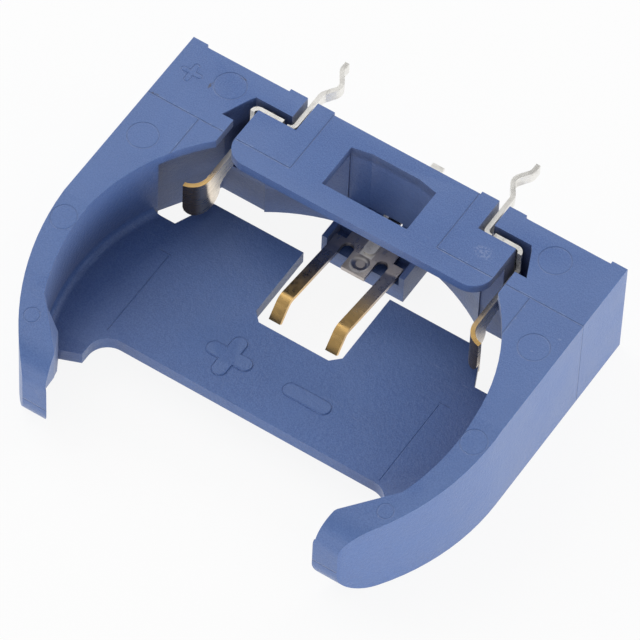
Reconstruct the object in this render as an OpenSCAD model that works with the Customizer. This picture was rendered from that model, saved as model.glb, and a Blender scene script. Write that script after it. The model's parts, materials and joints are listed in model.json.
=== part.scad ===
// Holder for a 20 mm coin cell that stands on edge on a circuit board.
// Modelled lying on its flat underside: X is the width, +Z is the axis of the cell,
// +Y points to the board, and the cell goes in from the -Y side.
// One blue moulding carries two folded side contacts (+) and one stamped fork contact (-).
// Inside the modules, Y is measured from the board plane.

/* [Coin cell] */
// Diameter of the cell
cell_d = 20; // [19:0.1:21]
// Play between the cell's edge and the pocket, all round
cell_play = 0.15; // [0.05:0.05:0.4]

/* [Housing] */
// Overall width of the moulding
body_w = 23; // [22.6:0.1:26]
// Height of the side rails, from the underside to the top face
body_h = 5.75; // [5.4:0.05:7]
// Distance from the board plane to the tips of the rails
reach = 18.4; // [17.4:0.1:19.6]
// Thickness of the back wall at its thinnest, board feet included
back_wall = 1.05; // [0.8:0.05:1.6]
// Thickness of the roof over the cell and over the springs
roof_t = 0.5; // [0.35:0.05:0.9]
// Height of the feet that touch the board
foot_h = 0.15; // [0.08:0.01:0.4]
// Width of the feet at the outer corners
corner_foot_w = 0.79; // [0.4:0.05:1.2]
// Width of the feet on each side of a tail slot
slot_foot_w = 0.9; // [0.5:0.05:1.1]
// Width of the foot in the middle of the back
middle_foot_w = 3.2; // [2:0.1:5]
// How far the top of the middle foot stays below the top face
middle_foot_drop = 0.4; // [0.1:0.05:1]

/* [Rails] */
// Length of the straight outer side, from the board plane
side_straight = 10.4; // [9.8:0.1:11.2]
// Downward slope of the rails towards their tips, in degrees
rail_slope = 10; // [4:1:14]
// Radius of the rounded lead-in at the top of each tip
tip_r = 1.6; // [0.8:0.1:2]
// Radius of the rounding under each tip
toe_r = 1.5; // [0.8:0.05:1.8]
// Where the retaining nubs inside the tips start, from the board plane
nub_back = 14.9; // [14.7:0.05:15.1]
// How far the nubs stand inside the pocket's wall at their back end
nub_depth = 1.2; // [0.6:0.05:1.3]
// Where the undersides of the nubs start to rise, from the board plane
nub_under = 16; // [15.6:0.1:16.8]
// Thickening of the wall under the nubs
nub_foot_t = 0.12; // [0.08:0.02:0.3]
// Height at which the nubs start to lean back
nub_knee = 3.35; // [3:0.05:3.8]
// Lean of the nubs' upper faces, in degrees
nub_lean = 16.7; // [8:0.1:20]

/* [Floor] */
// Thickness of the floor plate
plate_t = 0.7; // [0.5:0.05:1]
// Height of the plate's top face, where the cell lies
plate_top = 1.85; // [1.6:0.05:2.2]
// Where the plate starts, behind the cell's middle
plate_back = 4.85; // [4.6:0.05:5.4]
// Side of the plate at its back, beside the spring chambers
plate_side_x = 7.38; // [7:0.02:7.6]
// Where the plate ends at the front
plate_front = 13.5; // [12.8:0.1:14.5]
// Side of the plate's rounded front notch on the left
notch_left_x = 7.38; // [6.8:0.02:7.8]
// Side of the smaller notch on the right
notch_right_x = 8.05; // [7.7:0.05:8.2]
// Radius of the rounded front notches
notch_r = 1.03; // [0.6:0.05:1.5]
// How far the plate reaches forward beside the rails
ear_front = 15.02; // [14.6:0.05:15.4]
// Radius of the fillet between the plate and the rails
floor_fillet = 0.4; // [0.2:0.05:0.6]
// Width of the opening for the fork contact
fork_gap_w = 4.6; // [4.2:0.1:5.4]
// Front end of the opening for the fork contact
fork_gap_front = 9.18; // [8.8:0.05:9.8]
// Chamfer at the front corners of that opening
fork_gap_chamfer = 0.45; // [0.2:0.05:0.8]

/* [Bar over the cell] */
// Width of the bar
bar_w = 13.62; // [13.2:0.02:13.7]
// Front edge of the bar, from the board plane
bar_front = 4.76; // [4.4:0.02:5.2]
// Radius of the bar's front corners
bar_corner_r = 1.05; // [0.5:0.05:1.5]
// Width of the window in the bar
window_w = 4.5; // [3.5:0.1:5]
// Front edge of the window
window_front = 3.64; // [3.2:0.02:3.9]
// Width of the flat middle of the wall behind the window
wall_flat_w = 2.5; // [1.5:0.1:3]

/* [Side slots and spring chambers] */
// Front edge of the slot that holds each side contact
slot_front = 1.81; // [1.7:0.01:1.9]
// Width of that slot
slot_w = 0.54; // [0.4:0.01:0.6]
// How far the floor of the slot lies above the plate
slot_rise = 0.2; // [0.1:0.05:0.35]
// Side of the nose that lies over each spring
nose_x = 7.44; // [7.3:0.01:7.6]
// Back edge of that nose
nose_back = 2.91; // [2.8:0.01:3.1]
// Back wall of the spring chambers
chamber_back = 2.73; // [2.5:0.01:2.85]
// Outer side of the spring chambers, at the end of their slanted wall
chamber_x = 9.75; // [9.4:0.05:10]
// Front end of the spring chambers, where the rails start
rail_start = 6.55; // [6.4:0.01:6.8]

/* [Block under the fork contact] */
// Width of the block
block_w = 4.4; // [4.2:0.05:5]
// Front face of the block
block_front = 3.5; // [3.3:0.05:3.8]
// Height of the block
block_h = 1.7; // [1.55:0.01:1.8]
// Wall left on each side of the recess in the block
block_wall = 0.28; // [0.2:0.01:0.4]
// Depth of the recess under the fingers
block_recess = 0.65; // [0.4:0.05:0.9]
// Back end of that recess, where the ramps start
seat_back = 2.35; // [2.1:0.05:2.6]
// Height the ramps reach on the back wall
ramp_h = 3.05; // [2.4:0.05:4]

/* [Contacts] */
// Thickness of the contact strip
strip_t = 0.22; // [0.15:0.01:0.25]
// Distance between the two side tails
tail_pitch = 10.16; // [10:0.01:10.3]
// Length of the tails beyond the board plane
tail_len = 2.85; // [2.4:0.05:3.6]
// Width of the tails
tail_w = 0.6; // [0.45:0.05:0.8]
// How far a tail's kink steps aside, which holds it in its hole
kink_step = 0.46; // [0.2:0.02:0.6]
// Distance between the middles of the two spring arms
spring_pitch = 14.12; // [13.9:0.02:14.3]
// Clearance between the springs and the plate
spring_gap = 0.46; // [0.3:0.02:0.7]
// Width of the springs' paddles
spring_h = 2.12; // [1.8:0.02:2.3]
// Width of the arms behind the paddles
arm_h = 0.95; // [0.6:0.05:1.1]
// Where the paddles start, from the board plane
paddle_back = 4.65; // [4.5:0.05:4.8]
// Radius of the paddles' lower corners
paddle_r = 0.6; // [0.3:0.05:0.65]
// Radius of the curl at the end of each spring
curl_r = 1; // [0.85:0.05:1.05]
// Turn of that curl, in degrees
curl_turn = 82; // [65:1:90]
// Depth of the curl, from the board plane
curl_front = 6.3; // [6.2:0.01:6.4]
// Width of each finger of the fork
finger_w = 0.6; // [0.4:0.05:0.7]
// Distance between the middles of the two fingers
finger_pitch = 3; // [2.8:0.05:3.2]
// Height of the fingers' humps above the plate
finger_rise = 0.35; // [0.2:0.05:0.6]
// Where the humps touch the cell
finger_hump = 7.5; // [7:0.05:8]
// Radius of the bend in each hump
hump_r = 0.5; // [0.4:0.05:0.6]
// Length of the fingers' ends beyond the humps
finger_end = 0.85; // [0.6:0.05:1]
// Downward slope of those ends, in degrees
finger_drop = 48; // [30:1:55]
// Where the fingers leave the fork's shoulder
finger_root = 3.3; // [3.2:0.02:3.4]
// Back edge of that shoulder
shoulder_back = 2.95; // [2.85:0.01:3]
// Width of the fork's middle tab
tab_w = 1.22; // [0.9:0.02:1.3]
// Front end of the middle tab
tab_front = 4.36; // [4.2:0.02:4.6]
// Width of the raised tongue on the fork
tongue_w = 0.6; // [0.4:0.05:0.8]
// Height of that tongue
tongue_h = 0.12; // [0.05:0.01:0.2]
// Front end of that tongue
tongue_front = 3.18; // [3:0.02:3.2]
// Radius of the dimple in the middle tab
dimple_r = 0.43; // [0.3:0.01:0.45]
// Depth of that dimple
dimple_depth = 0.1; // [0.05:0.01:0.15]

/* [Hidden] */
$fn = 64;

// overlap that keeps cuts and joined shapes from sharing a face
lap = 0.02;
// the tip's arc stands this much proud of the slope, so that the two cross
ease = 0.002;
// height of a cut that goes right through
through = body_h + 2;

// the cell pocket
pocket_r = cell_d / 2 + cell_play;
pocket_y = -(back_wall + pocket_r);
// the middle of the overall length lies at Y = 0 of the finished part
board_y = (reach - tail_len) / 2;

// heights
plate_bottom = plate_top - plate_t;
roof_z = body_h - roof_t;
slot_floor = plate_top + slot_rise;

// slots and spring chambers
tail_x = tail_pitch / 2;
slot_back = slot_front - slot_w;
slot_end = nose_x + 0.09;
slot_bevel = 0.25;
chamber_slant_x = nose_x + 0.61;
chamber_inner = bar_w / 2 - 1.1;
// where the rails' inner wall starts, on the pocket's circle
wall_x = sqrt(pocket_r ^ 2 - (rail_start + pocket_y) ^ 2);

// side contacts
spring_x = spring_pitch / 2;
spring_bottom = plate_top + spring_gap;
spring_top = spring_bottom + spring_h;
// how far the curl reaches out from the arm's inner face
curl_reach = curl_r * (1 - cos(curl_turn));
run_top = body_h - 0.1;
run_bottom = slot_floor;
tail_top = body_h - 0.3;
run_y = slot_front - 0.05 - strip_t / 2;
bend_r = 0.28;

// fork contact
fork_bottom = block_h - 0.15 - strip_t;
finger_x = finger_pitch / 2;

module on_board() {
    translate([0, board_y, 0]) children();
}

module both_sides() {
    children();
    mirror([1, 0, 0]) children();
}

// ---- housing ----

// everything inside the outer wall, back to the face that carries the feet
module outer_outline() {
    difference() {
        union() {
            translate([-body_w / 2, -side_straight]) square([body_w, side_straight]);
            translate([0, -side_straight]) circle(r = body_w / 2, $fn = 128);
        }
        translate([-body_w, -foot_h]) square([2 * body_w, body_w]);
    }
}

module pocket_outline() {
    translate([0, pocket_y]) circle(r = pocket_r, $fn = 128);
}

// one spring chamber, on the +X side
module chamber_outline() {
    polygon([
        [chamber_inner, -chamber_back],
        [chamber_slant_x, -chamber_back],
        [chamber_x, -(rail_start - 1.05)],
        [chamber_x, -(rail_start - 0.35)],
        [wall_x, -rail_start],
        [chamber_inner, -rail_start]
    ]);
}

// the slot of one side contact, on the +X side: along the bar, out to the board, and around the nose
module slot_outline() {
    channel_x = tail_x - slot_w / 2;
    translate([channel_x, -slot_front]) square([nose_x - slot_bevel - channel_x, slot_w]);
    translate([channel_x, -slot_front]) square([slot_w, slot_front + lap]);
    polygon([
        [bar_w / 2, -slot_back],
        [slot_end - slot_bevel, -slot_back],
        [slot_end - slot_bevel / 3, -(slot_back + slot_bevel)],
        [chamber_slant_x, -nose_back],
        [nose_x, -nose_back],
        [nose_x, -bar_front],
        [bar_w / 2, -bar_front]
    ]);
}

// the window follows the back wall, which is flat in the middle
module window_outline() {
    back = back_wall - 0.05;
    polygon([
        [-window_w / 2, -window_front],
        [window_w / 2, -window_front],
        [window_w / 2, -(back + 0.22)],
        [wall_flat_w / 2, -back],
        [-wall_flat_w / 2, -back],
        [-window_w / 2, -(back + 0.22)]
    ]);
}

// what a corner loses when it is rounded; the corner lies at +X, -Y of the arc's centre
module corner_off(r) {
    difference() {
        translate([0, -r - lap]) square(r + lap);
        circle(r = r);
    }
}

module bar_outline() {
    difference() {
        translate([-bar_w / 2, -bar_front]) square([bar_w, bar_front - foot_h]);
        both_sides() translate([bar_w / 2 - bar_corner_r, bar_corner_r - bar_front]) corner_off(bar_corner_r);
    }
}

// side view of a rail, drawn in Y and Z: sloped top, rounded tip, rounded toe
module rail_profile() {
    nose_y = tip_r - reach;
    slope_end_z = body_h - (-nose_y - side_straight) * tan(rail_slope);
    nose_z = slope_end_z - (tip_r - ease) / cos(rail_slope);
    difference() {
        polygon([
            [1, -1],
            [-reach, -1],
            [-reach, body_h - (reach - side_straight) * tan(rail_slope)],
            [-side_straight, body_h],
            [1, body_h]
        ]);
        // rounded toe
        translate([toe_r - reach, toe_r]) mirror([1, 0, 0]) corner_off(toe_r);
        // rounded tip
        translate([nose_y, nose_z]) difference() {
            polygon([
                [0, 0],
                2 * tip_r * [-sin(rail_slope), cos(rail_slope)],
                [-2 * tip_r, 2 * tip_r],
                [-2 * tip_r, 0]
            ]);
            circle(r = tip_r);
        }
    }
}

// plan of one retaining nub, on the +X side; its outer edge lies inside the rail
module nub_outline() {
    start = [pocket_r - 0.75, -nub_back];
    front_y = -(reach + 1);
    outer_x = pocket_r - 2.7;
    polygon([
        [pocket_r - 0.25, -nub_back],
        start,
        start + [-0.45, -0.5],
        start + [0.2 - nub_depth, -0.5],
        start + [-0.88 - nub_depth, 1.1 + nub_back - reach],
        start + [-1.37 - nub_depth, front_y + nub_back],
        [outer_x, front_y]
    ]);
}

// side view of the nub, drawn in Y and Z: its underside rises towards the tip
module nub_profile() {
    rise = nub_knee - plate_bottom;
    run = reach - nub_under;
    far = reach + 0.5 * run;
    polygon([
        [0, plate_bottom],
        [-nub_under, plate_bottom],
        [-(nub_under + 0.5 * run), plate_bottom + 0.72 * rise],
        [-reach, nub_knee],
        [-far, nub_knee + 0.28 * rise],
        [-far, through + reach],
        [0, through + reach]
    ]);
}

// the nub, with an upper face that leans back from its knee and runs along the tip
module nub() {
    run_angle = 138.9;
    difference() {
        intersection() {
            linear_extrude(through) nub_outline();
            rotate([90, 0, 90]) linear_extrude(body_w) nub_profile();
        }
        translate([pocket_r - 1.74, -(nub_back + 1.24), nub_knee])
            rotate([0, 0, run_angle]) translate([0.45, 0, 0]) rotate([0, -nub_lean, 0])
            translate([0, -body_h, -body_h]) cube([body_h, 2 * body_h, 3 * body_h]);
    }
}

// thickening of the wall under the nub, up to its knee
module nub_foot() {
    foot_back = nub_back + 0.4;
    translate([0, 0, -1]) linear_extrude(nub_knee + 1) difference() {
        translate([0, -(reach + 1)]) square([body_w / 2, reach + 1 - foot_back]);
        translate([0, pocket_y]) circle(r = pocket_r - nub_foot_t, $fn = 128);
    }
}

// the walls around the cell, with a roof over the spring chambers
module walls() {
    difference() {
        intersection() {
            linear_extrude(body_h) outer_outline();
            rotate([90, 0, 90]) translate([0, 0, -body_w]) linear_extrude(2 * body_w) rail_profile();
        }
        difference() {
            translate([0, 0, -1]) linear_extrude(through) pocket_outline();
            both_sides() nub();
            both_sides() nub_foot();
        }
        both_sides() translate([0, 0, -1]) linear_extrude(roof_z + 1) chamber_outline();
    }
}

// the bar that bridges the back of the pocket
module bar() {
    translate([0, 0, roof_z]) linear_extrude(roof_t) bar_outline();
}

// one half of the plate, on the +X side, up to the side of its front notch
module half_plate_outline(notch_x) {
    ear_slope = 0.4;
    ear_x = pocket_r;
    notch_end = plate_front + notch_r;
    difference() {
        polygon([
            [-lap, -plate_back],
            [plate_side_x - 0.26, -plate_back],
            [plate_side_x + 0.58, -(rail_start + 0.2)],
            [ear_x, -(rail_start + 0.2)],
            [ear_x, -(ear_front + (ear_x - notch_x) * ear_slope)],
            [notch_x, -ear_front],
            [notch_x, -notch_end],
            [notch_x - notch_r, -notch_end],
            [notch_x - notch_r, -plate_front],
            [-lap, -plate_front]
        ]);
        translate([notch_x - notch_r, -notch_end]) circle(r = notch_r);
    }
}

module plate_outline() {
    difference() {
        union() {
            half_plate_outline(notch_right_x);
            mirror([1, 0, 0]) half_plate_outline(notch_left_x);
        }
        fork_gap_outline();
    }
}

// opening in the plate through which the fork's fingers reach up, open to the back
module fork_gap_outline() {
    half = fork_gap_w / 2;
    polygon([
        [-half, lap - plate_back],
        [-half, fork_gap_chamfer - fork_gap_front],
        [fork_gap_chamfer - half, -fork_gap_front],
        [half - fork_gap_chamfer, -fork_gap_front],
        [half, fork_gap_chamfer - fork_gap_front],
        [half, lap - plate_back]
    ]);
}

module plate() {
    translate([0, 0, plate_bottom]) linear_extrude(plate_t) intersection() {
        plate_outline();
        translate([0, pocket_y]) circle(r = pocket_r + 0.1, $fn = 128);
    }
}

// concave fillet along the foot of the rails' inner walls
module plate_fillet() {
    fillet_back = rail_start + 0.2;
    intersection() {
        translate([0, pocket_y, 0]) rotate_extrude($fn = 128) difference() {
            translate([pocket_r - floor_fillet, plate_top - lap]) square(floor_fillet + lap);
            translate([pocket_r - floor_fillet, plate_top + floor_fillet]) circle(r = floor_fillet);
        }
        both_sides() translate([notch_left_x, -ear_front, plate_top - lap])
            cube([body_w / 2, ear_front - fillet_back, 1]);
    }
}

// the block that carries the fork, hollow under its fingers, with two ramps up the back wall
module block() {
    half = block_w / 2;
    difference() {
        union() {
            translate([-half, -block_front, 0]) cube([block_w, block_front - back_wall + 0.5, block_h]);
            both_sides() translate([wall_flat_w / 2, 0, 0]) rotate([90, 0, 90])
                linear_extrude((block_w - wall_flat_w) / 2) polygon([
                    [-seat_back, 0],
                    [-seat_back, block_h],
                    [-(back_wall + 0.1), ramp_h],
                    [-back_wall + 0.3, ramp_h],
                    [-back_wall + 0.3, 0]
                ]);
        }
        // hollow under the fingers
        translate([-half + block_wall, -block_front - lap, block_h - block_recess])
            cube([block_w - 2 * block_wall, block_front - seat_back, block_recess + lap]);
    }
}

// bed of the fork: the channel between the ramps and the tail's way through the back wall
module fork_bed() {
    bed_w = wall_flat_w + 0.1;
    translate([-bed_w / 2, -(seat_back + lap), fork_bottom])
        cube([bed_w, seat_back - back_wall + lap, body_h]);
    translate([-tail_w / 2 - 0.2, -(back_wall + 0.1), -1])
        cube([tail_w + 0.4, back_wall + 1, block_h + 1.1]);
}

// feet that touch the board
module feet_outline() {
    both_sides() {
        translate([body_w / 2 - corner_foot_w, -foot_h - lap]) square([corner_foot_w, foot_h + lap]);
        translate([tail_x + slot_w / 2, -foot_h - lap]) square([slot_foot_w, foot_h + lap]);
        translate([tail_x - slot_w / 2 - slot_foot_w, -foot_h - lap]) square([slot_foot_w, foot_h + lap]);
    }
}

module housing() {
    color("steelblue") on_board() difference() {
        union() {
            walls();
            bar();
            plate();
            plate_fillet();
            block();
            linear_extrude(body_h) feet_outline();
            translate([-middle_foot_w / 2, -foot_h - lap, 0])
                cube([middle_foot_w, foot_h + lap, body_h - middle_foot_drop]);
        }
        translate([0, 0, block_h]) linear_extrude(through) window_outline();
        fork_bed();
        both_sides() translate([0, 0, slot_floor]) linear_extrude(through) slot_outline();
    }
}

// ---- contacts ----

// plan of a folded strip, as a list of moves: [length, 0] goes straight on,
// [radius, angle] turns to the left for a positive angle and to the right for a negative one
module strip(moves, i = 0) {
    if (i < len(moves)) {
        size = moves[i][0];
        turn = moves[i][1];
        if (turn == 0) {
            translate([-lap / 2, -strip_t / 2]) square([size + lap, strip_t]);
            translate([size, 0]) strip(moves, i + 1);
        } else {
            side = sign(turn);
            translate([0, side * size]) {
                bend(size, turn);
                rotate(turn) translate([0, -side * size]) strip(moves, i + 1);
            }
        }
    }
}

// sector of a ring around the origin that starts below it, or above it for a right turn
module bend(radius, turn) {
    far = 4 * (radius + strip_t);
    start = turn > 0 ? -90 : 90;
    half = turn / 2;
    intersection() {
        difference() {
            circle(r = radius + strip_t / 2);
            circle(r = radius - strip_t / 2);
        }
        polygon([
            [0, 0],
            far * [cos(start), sin(start)],
            far * [cos(start + half), sin(start + half)],
            far * [cos(start + turn), sin(start + turn)]
        ]);
    }
}

// moves of the kink that steps aside and back
function kink_moves(side) = let(
        r = 0.5,
        a = 35,
        slant = (kink_step - 2 * r * (1 - cos(a))) / sin(a)
    ) [[r, side * a], [slant, 0], [r, -side * 2 * a], [slant, 0], [r, side * a]];

function kink_length() = let(
        r = 0.5,
        a = 35,
        slant = (kink_step - 2 * r * (1 - cos(a))) / sin(a)
    ) 2 * (2 * r * sin(a) + slant * cos(a));

// length of tail beyond the kink
tail_end = 0.3;

// plan of the +X side contact, from the tail's end to the curl
module side_contact_plan() {
    tail_straight = tail_len - tail_end - kink_length() + run_y - bend_r;
    run_l = spring_x - tail_x - 2 * bend_r;
    arm_l = curl_front - curl_r + strip_t / 2 - (run_y + bend_r);
    translate([tail_x, tail_len]) rotate(-90) strip(concat(
        [[tail_end, 0]],
        kink_moves(-1),
        [[tail_straight, 0], [bend_r, 90], [run_l, 0], [bend_r, -90]],
        [[arm_l, 0], [curl_r - strip_t / 2, curl_turn]]
    ));
}

// side view of a spring, drawn in Y and Z: a narrow arm that ends in a paddle
module spring_profile() {
    arm_z = spring_top - arm_h;
    difference() {
        polygon([
            [-run_y, spring_top],
            [-run_y, arm_z],
            [0.6 - paddle_back, arm_z],
            [-paddle_back, arm_z - 0.3],
            [-paddle_back, spring_bottom],
            [-2 * curl_front, spring_bottom],
            [-2 * curl_front, spring_top]
        ]);
        translate([-(paddle_back + paddle_r), spring_bottom + paddle_r]) corner_off(paddle_r);
    }
}

// heights of the strip, seen from the side: tail, part in the slot, and spring
module side_contact_blank() {
    notch_in = tail_x + bend_r + 0.06;
    notch_w = 0.16;
    arm_y = run_y + bend_r;
    difference() {
        union() {
            // tail and bend
            translate([0, -(run_y + bend_r + 1), tail_top - tail_w])
                cube([notch_in + notch_w + lap, tail_len + run_y + bend_r + 2, tail_w]);
            // part held in the slot
            translate([notch_in, -arm_y, run_bottom]) cube([body_w, arm_y, run_top - run_bottom]);
            // spring
            rotate([90, 0, 90]) linear_extrude(body_w) spring_profile();
        }
        // rounded lower corner at the end of the curl
        translate([spring_x - strip_t / 2 + curl_reach - paddle_r, -run_y, spring_bottom + paddle_r])
            rotate([90, 0, 0]) linear_extrude(body_w) corner_off(paddle_r);
        translate([notch_in, -(run_y + 1), tail_top - tail_w / 2]) cube([notch_w, 2, 1]);
    }
}

module side_contact() {
    color("gainsboro") on_board() intersection() {
        linear_extrude(through) side_contact_plan();
        side_contact_blank();
    }
}

module side_contact_right() {
    side_contact();
}

module side_contact_left() {
    mirror([1, 0, 0]) side_contact();
}

// plan of the fork's flat part, with the two reliefs that free its middle tab
module fork_plan() {
    relief_r = (finger_pitch - finger_w - tab_w) / 4;
    difference() {
        union() {
            translate([-wall_flat_w / 2, -shoulder_back])
                square([wall_flat_w, shoulder_back - back_wall - 0.1]);
            translate([-(finger_pitch + finger_w) / 2, -finger_root])
                square([finger_pitch + finger_w, finger_root - shoulder_back + 0.02]);
            translate([-tab_w / 2, -tab_front]) square([tab_w, tab_front - shoulder_back]);
        }
        both_sides() translate([tab_w / 2 + relief_r, -(shoulder_back + 0.1 + relief_r)]) {
            circle(r = relief_r);
            translate([-relief_r, -2]) square([2 * relief_r, 2]);
        }
    }
}

// side view of one finger, from its root to its bent-down end
module finger_profile() {
    rise = plate_top + finger_rise - fork_bottom - strip_t;
    run = finger_hump - finger_root;
    slope = atan(rise / run);
    root_l = 0.2;
    root_r = 1;
    translate([lap - finger_root, fork_bottom + strip_t / 2]) rotate(180) strip([
        [root_l, 0],
        [root_r, -slope],
        [run / cos(slope) - hump_r, 0],
        [hump_r, slope + finger_drop],
        [finger_end, 0]
    ]);
}

module fork_tail_profile() {
    straight = tail_len - tail_end - kink_length() + back_wall + 0.2;
    translate([tail_len, fork_bottom + strip_t / 2]) rotate(180) strip(concat(
        [[tail_end, 0]], kink_moves(1), [[straight, 0]]
    ));
}

module upright(width) {
    rotate([90, 0, 90]) translate([0, 0, -width / 2]) linear_extrude(width) children();
}

// plan of the tongue raised on the fork, rounded at its front
module tongue_outline() {
    r = tongue_w / 2;
    difference() {
        translate([-r, -tongue_front]) square([tongue_w, tongue_front - back_wall - 0.1 - lap]);
        both_sides() translate([0, r - tongue_front]) corner_off(r);
    }
}

module fork_contact() {
    fork_top = fork_bottom + strip_t;
    dimple_y = tab_front - 0.66;
    color("silver") on_board() union() {
        difference() {
            translate([0, 0, fork_bottom]) linear_extrude(strip_t) fork_plan();
            translate([0, -dimple_y, fork_top - dimple_depth])
                cylinder(h = 2 * dimple_depth, r1 = dimple_r / 2, r2 = 1.5 * dimple_r);
        }
        translate([0, 0, fork_top - lap]) linear_extrude(tongue_h + lap) tongue_outline();
        both_sides() translate([finger_x, 0, 0]) upright(finger_w) finger_profile();
        upright(tail_w) fork_tail_profile();
    }
}

housing();
side_contact_left();
side_contact_right();
fork_contact();
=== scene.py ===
import json
import math
from collections import namedtuple

import bmesh
import bpy
from mathutils import Matrix, Vector


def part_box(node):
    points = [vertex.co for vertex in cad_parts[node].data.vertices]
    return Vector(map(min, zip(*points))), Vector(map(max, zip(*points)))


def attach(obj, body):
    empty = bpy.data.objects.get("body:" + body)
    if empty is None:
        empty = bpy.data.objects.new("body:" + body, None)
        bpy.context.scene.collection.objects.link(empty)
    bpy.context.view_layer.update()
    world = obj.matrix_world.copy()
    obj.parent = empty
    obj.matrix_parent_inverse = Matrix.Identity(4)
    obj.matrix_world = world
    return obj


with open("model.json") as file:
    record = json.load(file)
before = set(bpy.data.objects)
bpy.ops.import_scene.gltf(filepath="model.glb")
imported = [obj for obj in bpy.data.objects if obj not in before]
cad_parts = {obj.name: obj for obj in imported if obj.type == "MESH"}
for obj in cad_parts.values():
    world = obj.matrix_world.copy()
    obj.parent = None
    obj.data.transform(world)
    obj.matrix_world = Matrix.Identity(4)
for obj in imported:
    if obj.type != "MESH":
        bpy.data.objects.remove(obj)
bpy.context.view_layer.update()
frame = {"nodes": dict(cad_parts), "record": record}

MM = 0.001

# ---- places, all from the frame ----

housing_low, housing_high = (Vector(corner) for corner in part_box("housing"))
board = housing_high.y  # the plane that the feet touch
top = housing_high.z
half_w = housing_high.x


def at(x, y, z):
    """A point in millimetres: x from the middle, y from the board plane, z from the underside."""
    return Vector((x * MM, board + y * MM, z * MM))


cell_seat = next(m for m in frame["record"]["mounts"] if m["name"] == "cell_seat")
PLATE_TOP = cell_seat["pos_m"][2] / MM
BLOCK_TOP = top / MM

# ---- places of small detail, in millimetres from the middle and from the board plane ----

INSERT_Y = -3.72  # where the mould inserts of the rails and the blocks meet
EJECTORS = [(8.6, -1.4, 0.75), (10.3, -5.9, 0.72), (10.75, -11.5, 0.6)]  # x, y, radius
TIP_EJECTOR = (9.25, -16.2, 0.36)
TIP_PARTING_Z = 1.78
DIMPLE_Y = -3.83  # dimple in the fork's middle tab
DIMPLE_R = 0.40

# Generic polarity signs, as low raised pieces
Sign = namedtuple("Sign", "name arms x y face half radius proud")
SIGNS = [
    Sign("sign_plus_plate", 4, -1.9, -11.45, PLATE_TOP, 0.80, 0.36, 0.04),
    Sign("sign_minus_plate", 2, 2.2, -11.45, PLATE_TOP, 0.85, 0.36, 0.04),
    Sign("sign_plus_block", 4, -10.45, -1.75, BLOCK_TOP, 0.42, 0.11, 0.02),
]
SIGN_SUNK = 0.03
SIGN_DRAFT = 0.02

# ---- colours ----


def srgb(r, g, b):
    def linear(c):
        c = c / 255
        return c / 12.92 if c <= 0.04045 else ((c + 0.055) / 1.055) ** 2.4

    return (linear(r), linear(g), linear(b))


BLUE_A = srgb(57, 93, 158)
BLUE_B = srgb(64, 100, 165)
# painted shade in the recesses
BLUE_PAINTED_SHADE = srgb(26, 38, 88)
BLUE_GRAIN = srgb(96, 130, 190)
# darker mould lines, and painted shade round the signs
BLUE_GROOVE_AND_SHADE = srgb(44, 64, 116)
# painted highlight on convex edges
BLUE_EDGE_HIGHLIGHT = srgb(112, 138, 190)
BLUE_SCUFF = srgb(140, 156, 196)
BLUE_FLASH = srgb(150, 166, 202)
SMUDGE = srgb(70, 66, 74)
DARK_MARK = srgb(64, 60, 72)
TIN = srgb(240, 238, 233)
GOLD = srgb(224, 184, 118)
# paler gold, a painted reflection on faces that do not face up
PALE_GOLD_REFLECTION = srgb(240, 224, 202)
NICKEL = srgb(168, 160, 157)
# painted highlight on the fork's tongue and dimple rim
FORK_HIGHLIGHT = srgb(236, 232, 226)
DULL = srgb(104, 92, 82)
FRONT_BROWN = srgb(158, 134, 112)

# ---- material nodes ----


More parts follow.
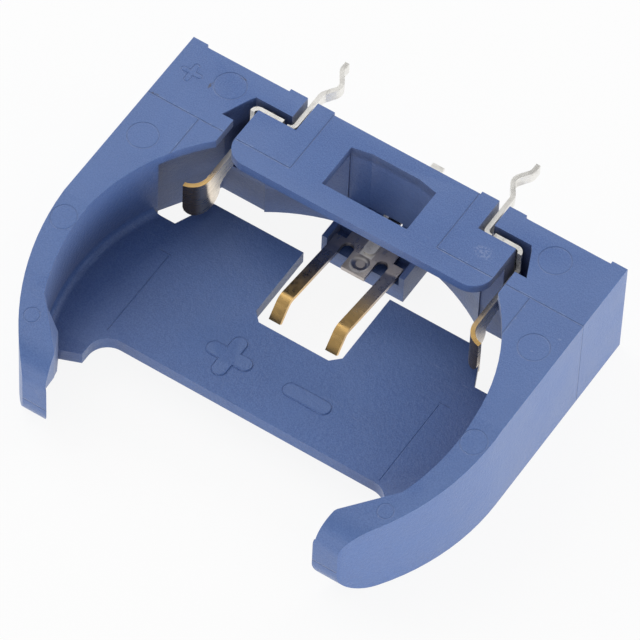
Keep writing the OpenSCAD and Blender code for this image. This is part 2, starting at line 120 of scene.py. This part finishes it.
class Nodes:
    """A new material, with short calls for the nodes that it is made from."""

    def __init__(self, name):
        self.mat = bpy.data.materials.new(name)
        self.mat.use_nodes = True
        self.tree = self.mat.node_tree
        self.tree.nodes.clear()
        self.out = self.add("ShaderNodeOutputMaterial")
        self.bsdf = self.add("ShaderNodeBsdfPrincipled")
        self.link(self.bsdf.outputs[0], self.out.inputs[0])
        self.coords = self.add("ShaderNodeTexCoord").outputs["Object"]
        self.x, self.y, self.z = self.split(self.coords)
        geometry = self.add("ShaderNodeNewGeometry")
        self.nx, self.ny, self.nz = self.split(geometry.outputs["Normal"])
        self.pointy = geometry.outputs["Pointiness"]

    def add(self, kind, **attrs):
        node = self.tree.nodes.new(kind)
        for key, value in attrs.items():
            setattr(node, key, value)
        return node

    def link(self, a, b):
        self.tree.links.new(a, b)

    def put(self, socket, value):
        if isinstance(value, bpy.types.NodeSocket):
            self.link(value, socket)
        else:
            socket.default_value = value

    def split(self, vector):
        node = self.add("ShaderNodeSeparateXYZ")
        self.link(vector, node.inputs[0])
        return node.outputs

    def from_board(self):
        """Distance from the middle plane, and depth from the board plane."""
        return self.math("ABSOLUTE", self.x), self.math("SUBTRACT", self.y, board)

    def math(self, op, a, b=0.0):
        node = self.add("ShaderNodeMath", operation=op)
        for socket, value in zip(node.inputs, (a, b)):
            self.put(socket, value)
        return node.outputs[0]

    def times(self, *values):
        out = values[0]
        for value in values[1:]:
            out = self.math("MULTIPLY", out, value)
        return out

    def most(self, *values):
        out = values[0]
        for value in values[1:]:
            out = self.math("MAXIMUM", out, value)
        return out

    def length(self, a, b):
        return self.math("SQRT", self.math("ADD", self.times(a, a), self.times(b, b)))

    def noise(self, scale, detail=3.0, rough=0.5, vector=None):
        node = self.add("ShaderNodeTexNoise")
        self.link(vector or self.coords, node.inputs["Vector"])
        node.inputs["Scale"].default_value = scale
        node.inputs["Detail"].default_value = detail
        node.inputs["Roughness"].default_value = rough
        return node.outputs[0]

    def stretched(self, sx, sy, sz):
        node = self.add("ShaderNodeMapping")
        self.link(self.coords, node.inputs["Vector"])
        node.inputs["Scale"].default_value = (sx, sy, sz)
        return node.outputs[0]

    def ramp(self, value, low, high, to_low=0.0, to_high=1.0, smooth=True):
        node = self.add("ShaderNodeMapRange")
        node.interpolation_type = "SMOOTHSTEP" if smooth else "LINEAR"
        self.put(node.inputs["Value"], value)
        node.inputs["From Min"].default_value = low
        node.inputs["From Max"].default_value = high
        node.inputs["To Min"].default_value = to_low
        node.inputs["To Max"].default_value = to_high
        return node.outputs["Result"]

    def falls(self, value, low, high):
        """1 below low, 0 above high."""
        return self.ramp(value, low, high, 1.0, 0.0)

    def between(self, value, low, high, soft=0.03 * MM):
        """1 where value lies between low and high, with soft ends."""
        rises = self.ramp(value, low - soft, low + soft)
        return self.times(rises, self.falls(value, high - soft, high + soft))

    def seam(self, value, centre, width):
        """A soft line where value is at centre."""
        off = self.math("ABSOLUTE", self.math("SUBTRACT", value, centre))
        return self.falls(off, 0.0, width)

    def mix(self, factor, a, b):
        node = self.add("ShaderNodeMix", data_type="RGBA")
        self.put(node.inputs[0], factor)
        for socket, value in ((node.inputs[6], a), (node.inputs[7], b)):
            self.put(socket, value if isinstance(value, bpy.types.NodeSocket) else (*value, 1.0))
        return node.outputs[2]

    def bump(self, height, distance, strength=1.0, normal=None):
        node = self.add("ShaderNodeBump")
        node.inputs["Strength"].default_value = strength
        node.inputs["Distance"].default_value = distance
        self.link(height, node.inputs["Height"])
        if normal is not None:
            self.link(normal, node.inputs["Normal"])
        return node.outputs[0]

    def sunk(self, mask, depth, normal):
        return self.bump(self.math("SUBTRACT", 0.0, mask), depth, 1.0, normal)


# ---- housing: moulded blue plastic with insert lines and ejector marks ----


def plastic():
    m = Nodes("housing_plastic_look")
    ax, yb = m.from_board()
    up = m.ramp(m.nz, 0.9, 0.97)
    on_top = m.times(up, m.ramp(m.z, top - 0.5 * MM, top - 0.3 * MM))
    on_plate = m.times(up, m.between(m.z, 1.6 * MM, 2.1 * MM))
    fine = m.noise(16000, 2.0, 0.6)
    grain = m.noise(5200, 3.0, 0.55)
    cloud = m.noise(420, 4.0, 0.55)

    # these take millimetres; along_x, along_y, ring and disc show on both halves
    def along_x(y, x0, x1, width=0.045):
        return m.times(m.seam(yb, y * MM, width * MM), m.between(ax, x0 * MM, x1 * MM))

    def along_y(x, y0, y1, width=0.045):
        return m.times(m.seam(ax, x * MM, width * MM), m.between(yb, y0 * MM, y1 * MM))

    def off(value, centre):
        return m.math("SUBTRACT", value, centre * MM)

    def ring(x, y, r):
        return m.seam(m.length(off(ax, x), off(yb, y)), r * MM, 0.05 * MM)

    def disc(x, y, r):
        return m.falls(m.length(off(ax, x), off(yb, y)), (r - 0.03) * MM, (r + 0.03) * MM)

    def spot(x, y, rx, ry):
        """A soft oval."""
        far = m.length(m.times(off(m.x, x), 1 / (rx * MM)), m.times(off(yb, y), 1 / (ry * MM)))
        return m.falls(far, 0.5, 1.0)

    def stroke(sign, upright=False):
        """Distance from one straight stroke of a sign."""
        dx = m.math("ABSOLUTE", off(m.x, sign.x))
        dy = m.math("ABSOLUTE", off(yb, sign.y))
        if upright:
            dx, dy = dy, dx
        return m.length(m.most(m.math("SUBTRACT", dx, sign.half * MM), 0.0), dy)

    def outline(sign):
        shape = stroke(sign)
        if sign.arms == 4:
            shape = m.math("MINIMUM", shape, stroke(sign, upright=True))
        return m.seam(shape, (sign.radius + 0.01) * MM, 0.05 * MM)

    # thin lines where mould inserts meet, and round ejector marks
    rings = m.most(*(ring(*place) for place in (*EJECTORS, TIP_EJECTOR)))
    lines_top = m.times(
        m.most(
            along_x(INSERT_Y, 7.45, 11.6),
            along_y(8.74, -6.6, -3.78),
            along_x(-3.74, 3.86, 6.79),
            along_y(3.87, -3.74, 0.1),
            m.times(rings, 0.6),
        ),
        up,
        m.ramp(m.z, 3.5 * MM, 3.7 * MM),
    )
    # the insert line runs on down the flat outer sides
    sides = m.times(
        m.ramp(m.math("ABSOLUTE", m.nx), 0.9, 0.97),
        m.seam(yb, INSERT_Y * MM, 0.05 * MM),
        m.ramp(ax, half_w - 0.3 * MM, half_w - 0.2 * MM),
    )
    plate_lines = m.most(along_y(7.2, -13.3, -8.4, 0.04), along_x(-8.3, 7.14, 7.7, 0.04))
    plate_lines = m.times(plate_lines, on_plate, 0.7)
    # the parting line crosses the blunt tips
    tips = m.times(
        m.falls(m.ny, -0.97, -0.9),
        m.seam(m.z, TIP_PARTING_Z * MM, 0.06 * MM),
        m.falls(yb, -18.2 * MM, -18.1 * MM),
    )
    # painted shade: a dark line lies round the foot of each raised sign
    sign_shade = m.times(m.most(*(outline(sign) for sign in SIGNS)), m.most(on_plate, on_top), 0.7)
    grooves_and_sign_shade = m.most(lines_top, sides, plate_lines, tips, sign_shade)
    pads = m.times(m.most(*(disc(*place) for place in EJECTORS)), on_top)

    # colour: a slightly uneven, grainy blue with a few grey smudges
    base = m.mix(m.ramp(cloud, 0.3, 0.7), BLUE_A, BLUE_B)
    base = m.mix(m.ramp(fine, 0.38, 0.62, 0.0, 0.45), base, BLUE_GRAIN)
    speck = m.ramp(m.noise(2600, 2.0, 0.5), 0.70, 0.78, 0.0, 0.35)
    smudge_zone = m.ramp(m.noise(260, 3.0, 0.6), 0.60, 0.72)
    base = m.mix(m.times(smudge_zone, speck, m.ramp(m.nz, 0.5, 0.9)), base, SMUDGE)
    # small dark handling marks by the left block's ejector mark and insert line
    torn = m.ramp(m.noise(9000, 3.0, 0.6), 0.46, 0.58)
    marks = m.most(
        spot(-9.37, -1.85, 0.10, 0.26),
        spot(-8.36, -0.72, 0.24, 0.08),
        spot(-11.1, -3.66, 0.35, 0.07),
        spot(-10.6, -4.35, 0.10, 0.10),
    )
    base = m.mix(m.times(marks, torn, on_top), base, DARK_MARK)
    # pale scuffs on the bar and the right block, and faint scratches
    scuff = m.most(
        spot(5.75, -2.8, 0.6, 0.42),
        spot(11.0, -4.9, 0.10, 0.10),
        spot(10.35, -6.1, 0.2, 0.06),
    )
    scratch = m.ramp(m.noise(1.0, 2.0, 0.5, m.stretched(700, 9000, 700)), 0.62, 0.68)
    scratch = m.times(scratch, m.ramp(m.noise(300, 2.0), 0.6, 0.7), 0.35)
    pale = m.most(m.times(scuff, torn, on_top), scratch)
    base = m.mix(m.times(pale, 0.55), base, BLUE_SCUFF)
    # mould lines are darker grooves; the line round each sign is painted shade
    base = m.mix(m.times(grooves_and_sign_shade, 0.40), base, BLUE_GROOVE_AND_SHADE)
    # light flash is left here and there along the insert lines
    flash = m.most(
        along_x(-3.66, 3.9, 11.6, 0.04),
        along_x(-3.76, 3.9, 6.8, 0.03),
        along_y(8.80, -6.4, -3.8, 0.03),
    )
    flash = m.times(flash, on_top, m.ramp(m.noise(3200, 3.0, 0.6), 0.50, 0.60))
    base = m.mix(m.times(flash, 0.5), base, BLUE_FLASH)
    # painted shade: the colour darkens deep in the recesses, by occlusion
    recess_occlusion = m.add("ShaderNodeAmbientOcclusion", samples=12, only_local=True)
    recess_occlusion.inputs["Distance"].default_value = 6 * MM
    painted_recess_shade = m.ramp(recess_occlusion.outputs["AO"], 0.10, 0.95, 0.75, 0.0, smooth=False)
    base = m.mix(painted_recess_shade, base, BLUE_PAINTED_SHADE)
    # painted highlight: convex edges are lightened
    base = m.mix(m.ramp(m.pointy, 0.53, 0.62, 0.0, 0.25), base, BLUE_EDGE_HIGHLIGHT)
    m.link(base, m.bsdf.inputs["Base Color"])

    rough = m.ramp(cloud, 0.3, 0.75, 0.40, 0.50)
    rough = m.math("ADD", rough, m.times(m.math("SUBTRACT", fine, 0.5), 0.25))
    m.link(rough, m.bsdf.inputs["Roughness"])
    m.bsdf.inputs["IOR"].default_value = 1.62
    m.bsdf.inputs["Sheen Weight"].default_value = 0.28
    m.bsdf.inputs["Sheen Roughness"].default_value = 0.45
    skin = m.math("ADD", m.times(fine, 0.45), m.times(grain, 0.55))
    normal = m.bump(skin, 0.035 * MM, 1.0)
    normal = m.sunk(grooves_and_sign_shade, 0.03 * MM, normal)
    normal = m.sunk(pads, 0.012 * MM, normal)
    m.link(normal, m.bsdf.inputs["Normal"])
    return m.mat


# ---- contacts: drawn strip, tin at the tails, gold where it touches the cell ----


def contact(name, tin, gold, flat, front_tone, start, end, highlight_colour=None):
    """Strip that turns from tin to gold between two depths.

    Painted reflection: its faces that do not face up are paler than its upward faces. Faces
    toward the front are a darker brown.
    """
    m = Nodes(name)
    ax, yb = m.from_board()
    wander = m.times(m.math("SUBTRACT", m.noise(900, 2.0), 0.5), 0.4 * MM)
    plated = m.falls(m.math("ADD", yb, wander), end * MM, start * MM)
    streak = m.noise(1.0, 3.0, 0.6, m.stretched(2500, 900, 14000))
    cloud = m.noise(1500, 3.0, 0.6)
    speck = m.ramp(m.noise(7000, 2.0, 0.6), 0.62, 0.72)
    # faces toward the front are a darker brown
    flat = m.mix(m.ramp(m.ny, -0.80, -0.45), front_tone, flat)
    # painted reflection: faces that do not face up take the paler colour
    gilt = m.mix(m.ramp(m.nz, 0.3, 0.7), flat, gold)
    base = m.mix(plated, tin, gilt)
    rough = m.ramp(streak, 0.3, 0.7, 0.24, 0.38)
    m.bsdf.inputs["Metallic"].default_value = 1.0
    if highlight_colour is not None:
        # painted highlight: the raised tongue, the rim of the dimple and a little of the tab are
        # lightened, and the tail is tin
        tongue = m.times(
            m.falls(ax, 0.28 * MM, 0.36 * MM),
            m.between(yb, -3.3 * MM, -1.8 * MM),
        )
        tab = m.times(
            m.falls(ax, 0.75 * MM, 0.85 * MM),
            m.falls(yb, -3.35 * MM, -3.25 * MM),
        )
        from_dimple = m.length(m.x, m.math("SUBTRACT", yb, DIMPLE_Y * MM))
        rim = m.seam(from_dimple, DIMPLE_R * MM, 0.10 * MM)
        painted_highlight = m.most(tongue, m.times(tab, 0.12), m.times(rim, 0.8))
        base = m.mix(painted_highlight, base, highlight_colour)
        base = m.mix(m.ramp(yb, -0.9 * MM, -0.3 * MM), base, TIN)
        metallic = m.math("SUBTRACT", 1.0, m.times(tongue, 0.5))
        m.link(metallic, m.bsdf.inputs["Metallic"])
        rough = m.math("ADD", rough, m.times(painted_highlight, 0.25))
    base = m.mix(m.ramp(cloud, 0.45, 0.80, 0.0, 0.30), base, DULL)
    base = m.mix(m.times(speck, 0.25), base, DULL)
    m.link(base, m.bsdf.inputs["Base Color"])
    m.link(rough, m.bsdf.inputs["Roughness"])
    normal = m.bump(streak, 0.001 * MM, 0.25)
    normal = m.bump(cloud, 0.004 * MM, 0.2, normal)
    m.link(normal, m.bsdf.inputs["Normal"])
    return m.mat


housing_look = plastic()
side_look = contact("contact_metal_look", TIN, GOLD, PALE_GOLD_REFLECTION, FRONT_BROWN, -3.6, -6.0)
fork_look = contact("fork_metal_look", NICKEL, GOLD, GOLD, GOLD, -4.3, -7.2, FORK_HIGHLIGHT)

# node: material, width of its broken edges in millimetres
LOOKS = {
    "housing": (housing_look, 0.05),
    "side_contact_left": (side_look, 0.025),
    "side_contact_right": (side_look, 0.025),
    "fork_contact": (fork_look, 0.025),
}

for name, obj in frame["nodes"].items():
    look, edge_width = LOOKS[name]
    if not obj.data.materials:
        obj.data.materials.append(look)
    for i in range(len(obj.data.materials)):
        obj.data.materials[i] = look
    soft = obj.modifiers.new("broken_edges", "BEVEL")
    soft.width = edge_width * MM
    soft.segments = 2
    soft.limit_method = "ANGLE"
    soft.angle_limit = math.radians(35)
    soft.harden_normals = False

# ---- low raised signs ----


def sign_outline(sign, radius, steps=10):
    """Outline of straight strokes from one centre, with round ends."""
    points = []
    for k in range(sign.arms):
        turn = 2 * math.pi * k / sign.arms
        end = Vector((math.cos(turn), math.sin(turn))) * sign.half
        for i in range(steps + 1):
            a = turn - math.pi / 2 + math.pi * i / steps
            points.append(end + Vector((math.cos(a), math.sin(a))) * radius)
        if sign.arms == 4:
            a = turn + math.pi / 4
            points.append(Vector((math.cos(a), math.sin(a))) * radius * math.sqrt(2))
    return points


def raise_sign(sign):
    bm = bmesh.new()
    loops = []
    for radius, rise in (
        (sign.radius, -SIGN_SUNK),
        (sign.radius, 0.0),
        (sign.radius - SIGN_DRAFT, sign.proud),
    ):
        height = sign.face + rise
        loops.append([
            bm.verts.new(at(sign.x + p.x, sign.y + p.y, height))
            for p in sign_outline(sign, radius)
        ])
    count = len(loops[0])
    for low, high in zip(loops, loops[1:]):
        for i in range(count):
            j = (i + 1) % count
            bm.faces.new((low[i], low[j], high[j], high[i]))
    bm.faces.new(list(reversed(loops[0])))
    bm.faces.new(loops[-1])
    bmesh.ops.recalc_face_normals(bm, faces=bm.faces)
    mesh = bpy.data.meshes.new(sign.name)
    bm.to_mesh(mesh)
    bm.free()
    obj = bpy.data.objects.new(sign.name, mesh)
    bpy.context.scene.collection.objects.link(obj)
    obj.data.materials.append(housing_look)
    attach(obj, "root")


for sign in SIGNS:
    raise_sign(sign)

# ---- floor and world ----


def floor_look():
    """Pale floor that still shows the object's shadow, and that gloss sees as white."""
    m = Nodes("studio_floor")
    m.bsdf.inputs["Roughness"].default_value = 0.6
    m.bsdf.inputs["Specular IOR Level"].default_value = 0.2
    tone = m.mix(m.ramp(m.noise(18, 3.0), 0.3, 0.7), (0.94, 0.94, 0.94), (0.96, 0.96, 0.96))
    m.link(tone, m.bsdf.inputs["Base Color"])
    glow = m.add("ShaderNodeEmission")
    glow.inputs["Color"].default_value = (1, 1, 1, 1)
    glow.inputs["Strength"].default_value = 1.0
    path = m.add("ShaderNodeLightPath").outputs
    seen = m.times(m.most(path["Is Camera Ray"], path["Is Transmission Ray"]), 0.9)
    mixer = m.add("ShaderNodeMixShader")
    m.link(m.most(seen, path["Is Glossy Ray"]), mixer.inputs[0])
    m.link(m.bsdf.outputs[0], mixer.inputs[1])
    m.link(glow.outputs[0], mixer.inputs[2])
    m.link(mixer.outputs[0], m.out.inputs[0])
    return m.mat


FLOOR_SIZE = 3.0
FLOOR_GAP = 0.02 * MM  # keeps the floor off the faces that stand on it
bpy.ops.mesh.primitive_grid_add(
    x_subdivisions=2,
    y_subdivisions=2,
    size=FLOOR_SIZE,
    location=(0, 0, housing_low.z - FLOOR_GAP),
)
ground = bpy.context.object
ground.name = "studio_floor"
ground.data.materials.append(floor_look())

world = bpy.data.worlds.new("studio_world")
bpy.context.scene.world = world
world.use_nodes = True
background = world.node_tree.nodes["Background"]
background.inputs["Color"].default_value = (1.0, 1.0, 1.0, 1.0)
background.inputs["Strength"].default_value = 0.45

# ---- lamps: azimuth 0 is the open front, 90 the right ----

focus = at(1.75406, -9.92519, BLOCK_TOP)


def lamp(name, azimuth, elevation, distance, width, height, power):
    data = bpy.data.lights.new(name, "AREA")
    data.shape = "RECTANGLE"
    data.size = width
    data.size_y = height
    data.energy = power
    obj = bpy.data.objects.new(name, data)
    a, e = math.radians(azimuth), math.radians(elevation)
    away = Vector((math.sin(a) * math.cos(e), -math.cos(a) * math.cos(e), math.sin(e)))
    obj.location = focus + away * distance
    obj.rotation_euler = (-away).to_track_quat("-Z", "Y").to_euler()
    bpy.context.scene.collection.objects.link(obj)


lamp("key", -105, 44, 0.32, 0.26, 0.26, 0.36)
lamp("left_mid", -80, 17, 0.32, 0.30, 0.08, 0.10)
lamp("back_mid", 175, 24, 0.32, 0.30, 0.08, 0.33)
lamp("strip_right", 90, 4, 0.30, 0.30, 0.036, 0.40)
lamp("strip_front", 0, 1.5, 0.30, 0.30, 0.020, 0.20)

# ---- camera, as calibrated on the photograph's straight edges ----

CAMERA_AZIMUTH = math.radians(30.8518)
CAMERA_ELEVATION = math.radians(54.5903)
CAMERA_ROLL = math.radians(2.7214)
CAMERA_DISTANCE = 306.927 * MM

level = math.cos(CAMERA_ELEVATION)
forward = Vector((
    -math.sin(CAMERA_AZIMUTH) * level,
    math.cos(CAMERA_AZIMUTH) * level,
    -math.sin(CAMERA_ELEVATION),
))
right = Vector((math.cos(CAMERA_AZIMUTH), math.sin(CAMERA_AZIMUTH), 0))
upward = right.cross(forward)
right, upward = (
    math.cos(CAMERA_ROLL) * right + math.sin(CAMERA_ROLL) * upward,
    -math.sin(CAMERA_ROLL) * right + math.cos(CAMERA_ROLL) * upward,
)
cam_data = bpy.data.cameras.new("photo_camera")
cam_data.sensor_width = 36.0
cam_data.lens = 394.0064
cam_data.clip_start = 0.01
cam_data.clip_end = 10.0
camera = bpy.data.objects.new("photo_camera", cam_data)
turn = Matrix((right, upward, -forward)).transposed()
camera.matrix_world = Matrix.Translation(focus - forward * CAMERA_DISTANCE) @ turn.to_4x4()
bpy.context.scene.collection.objects.link(camera)
bpy.context.scene.camera = camera

bpy.context.scene.view_settings.view_transform = "Standard"

bpy.context.view_layer.update()
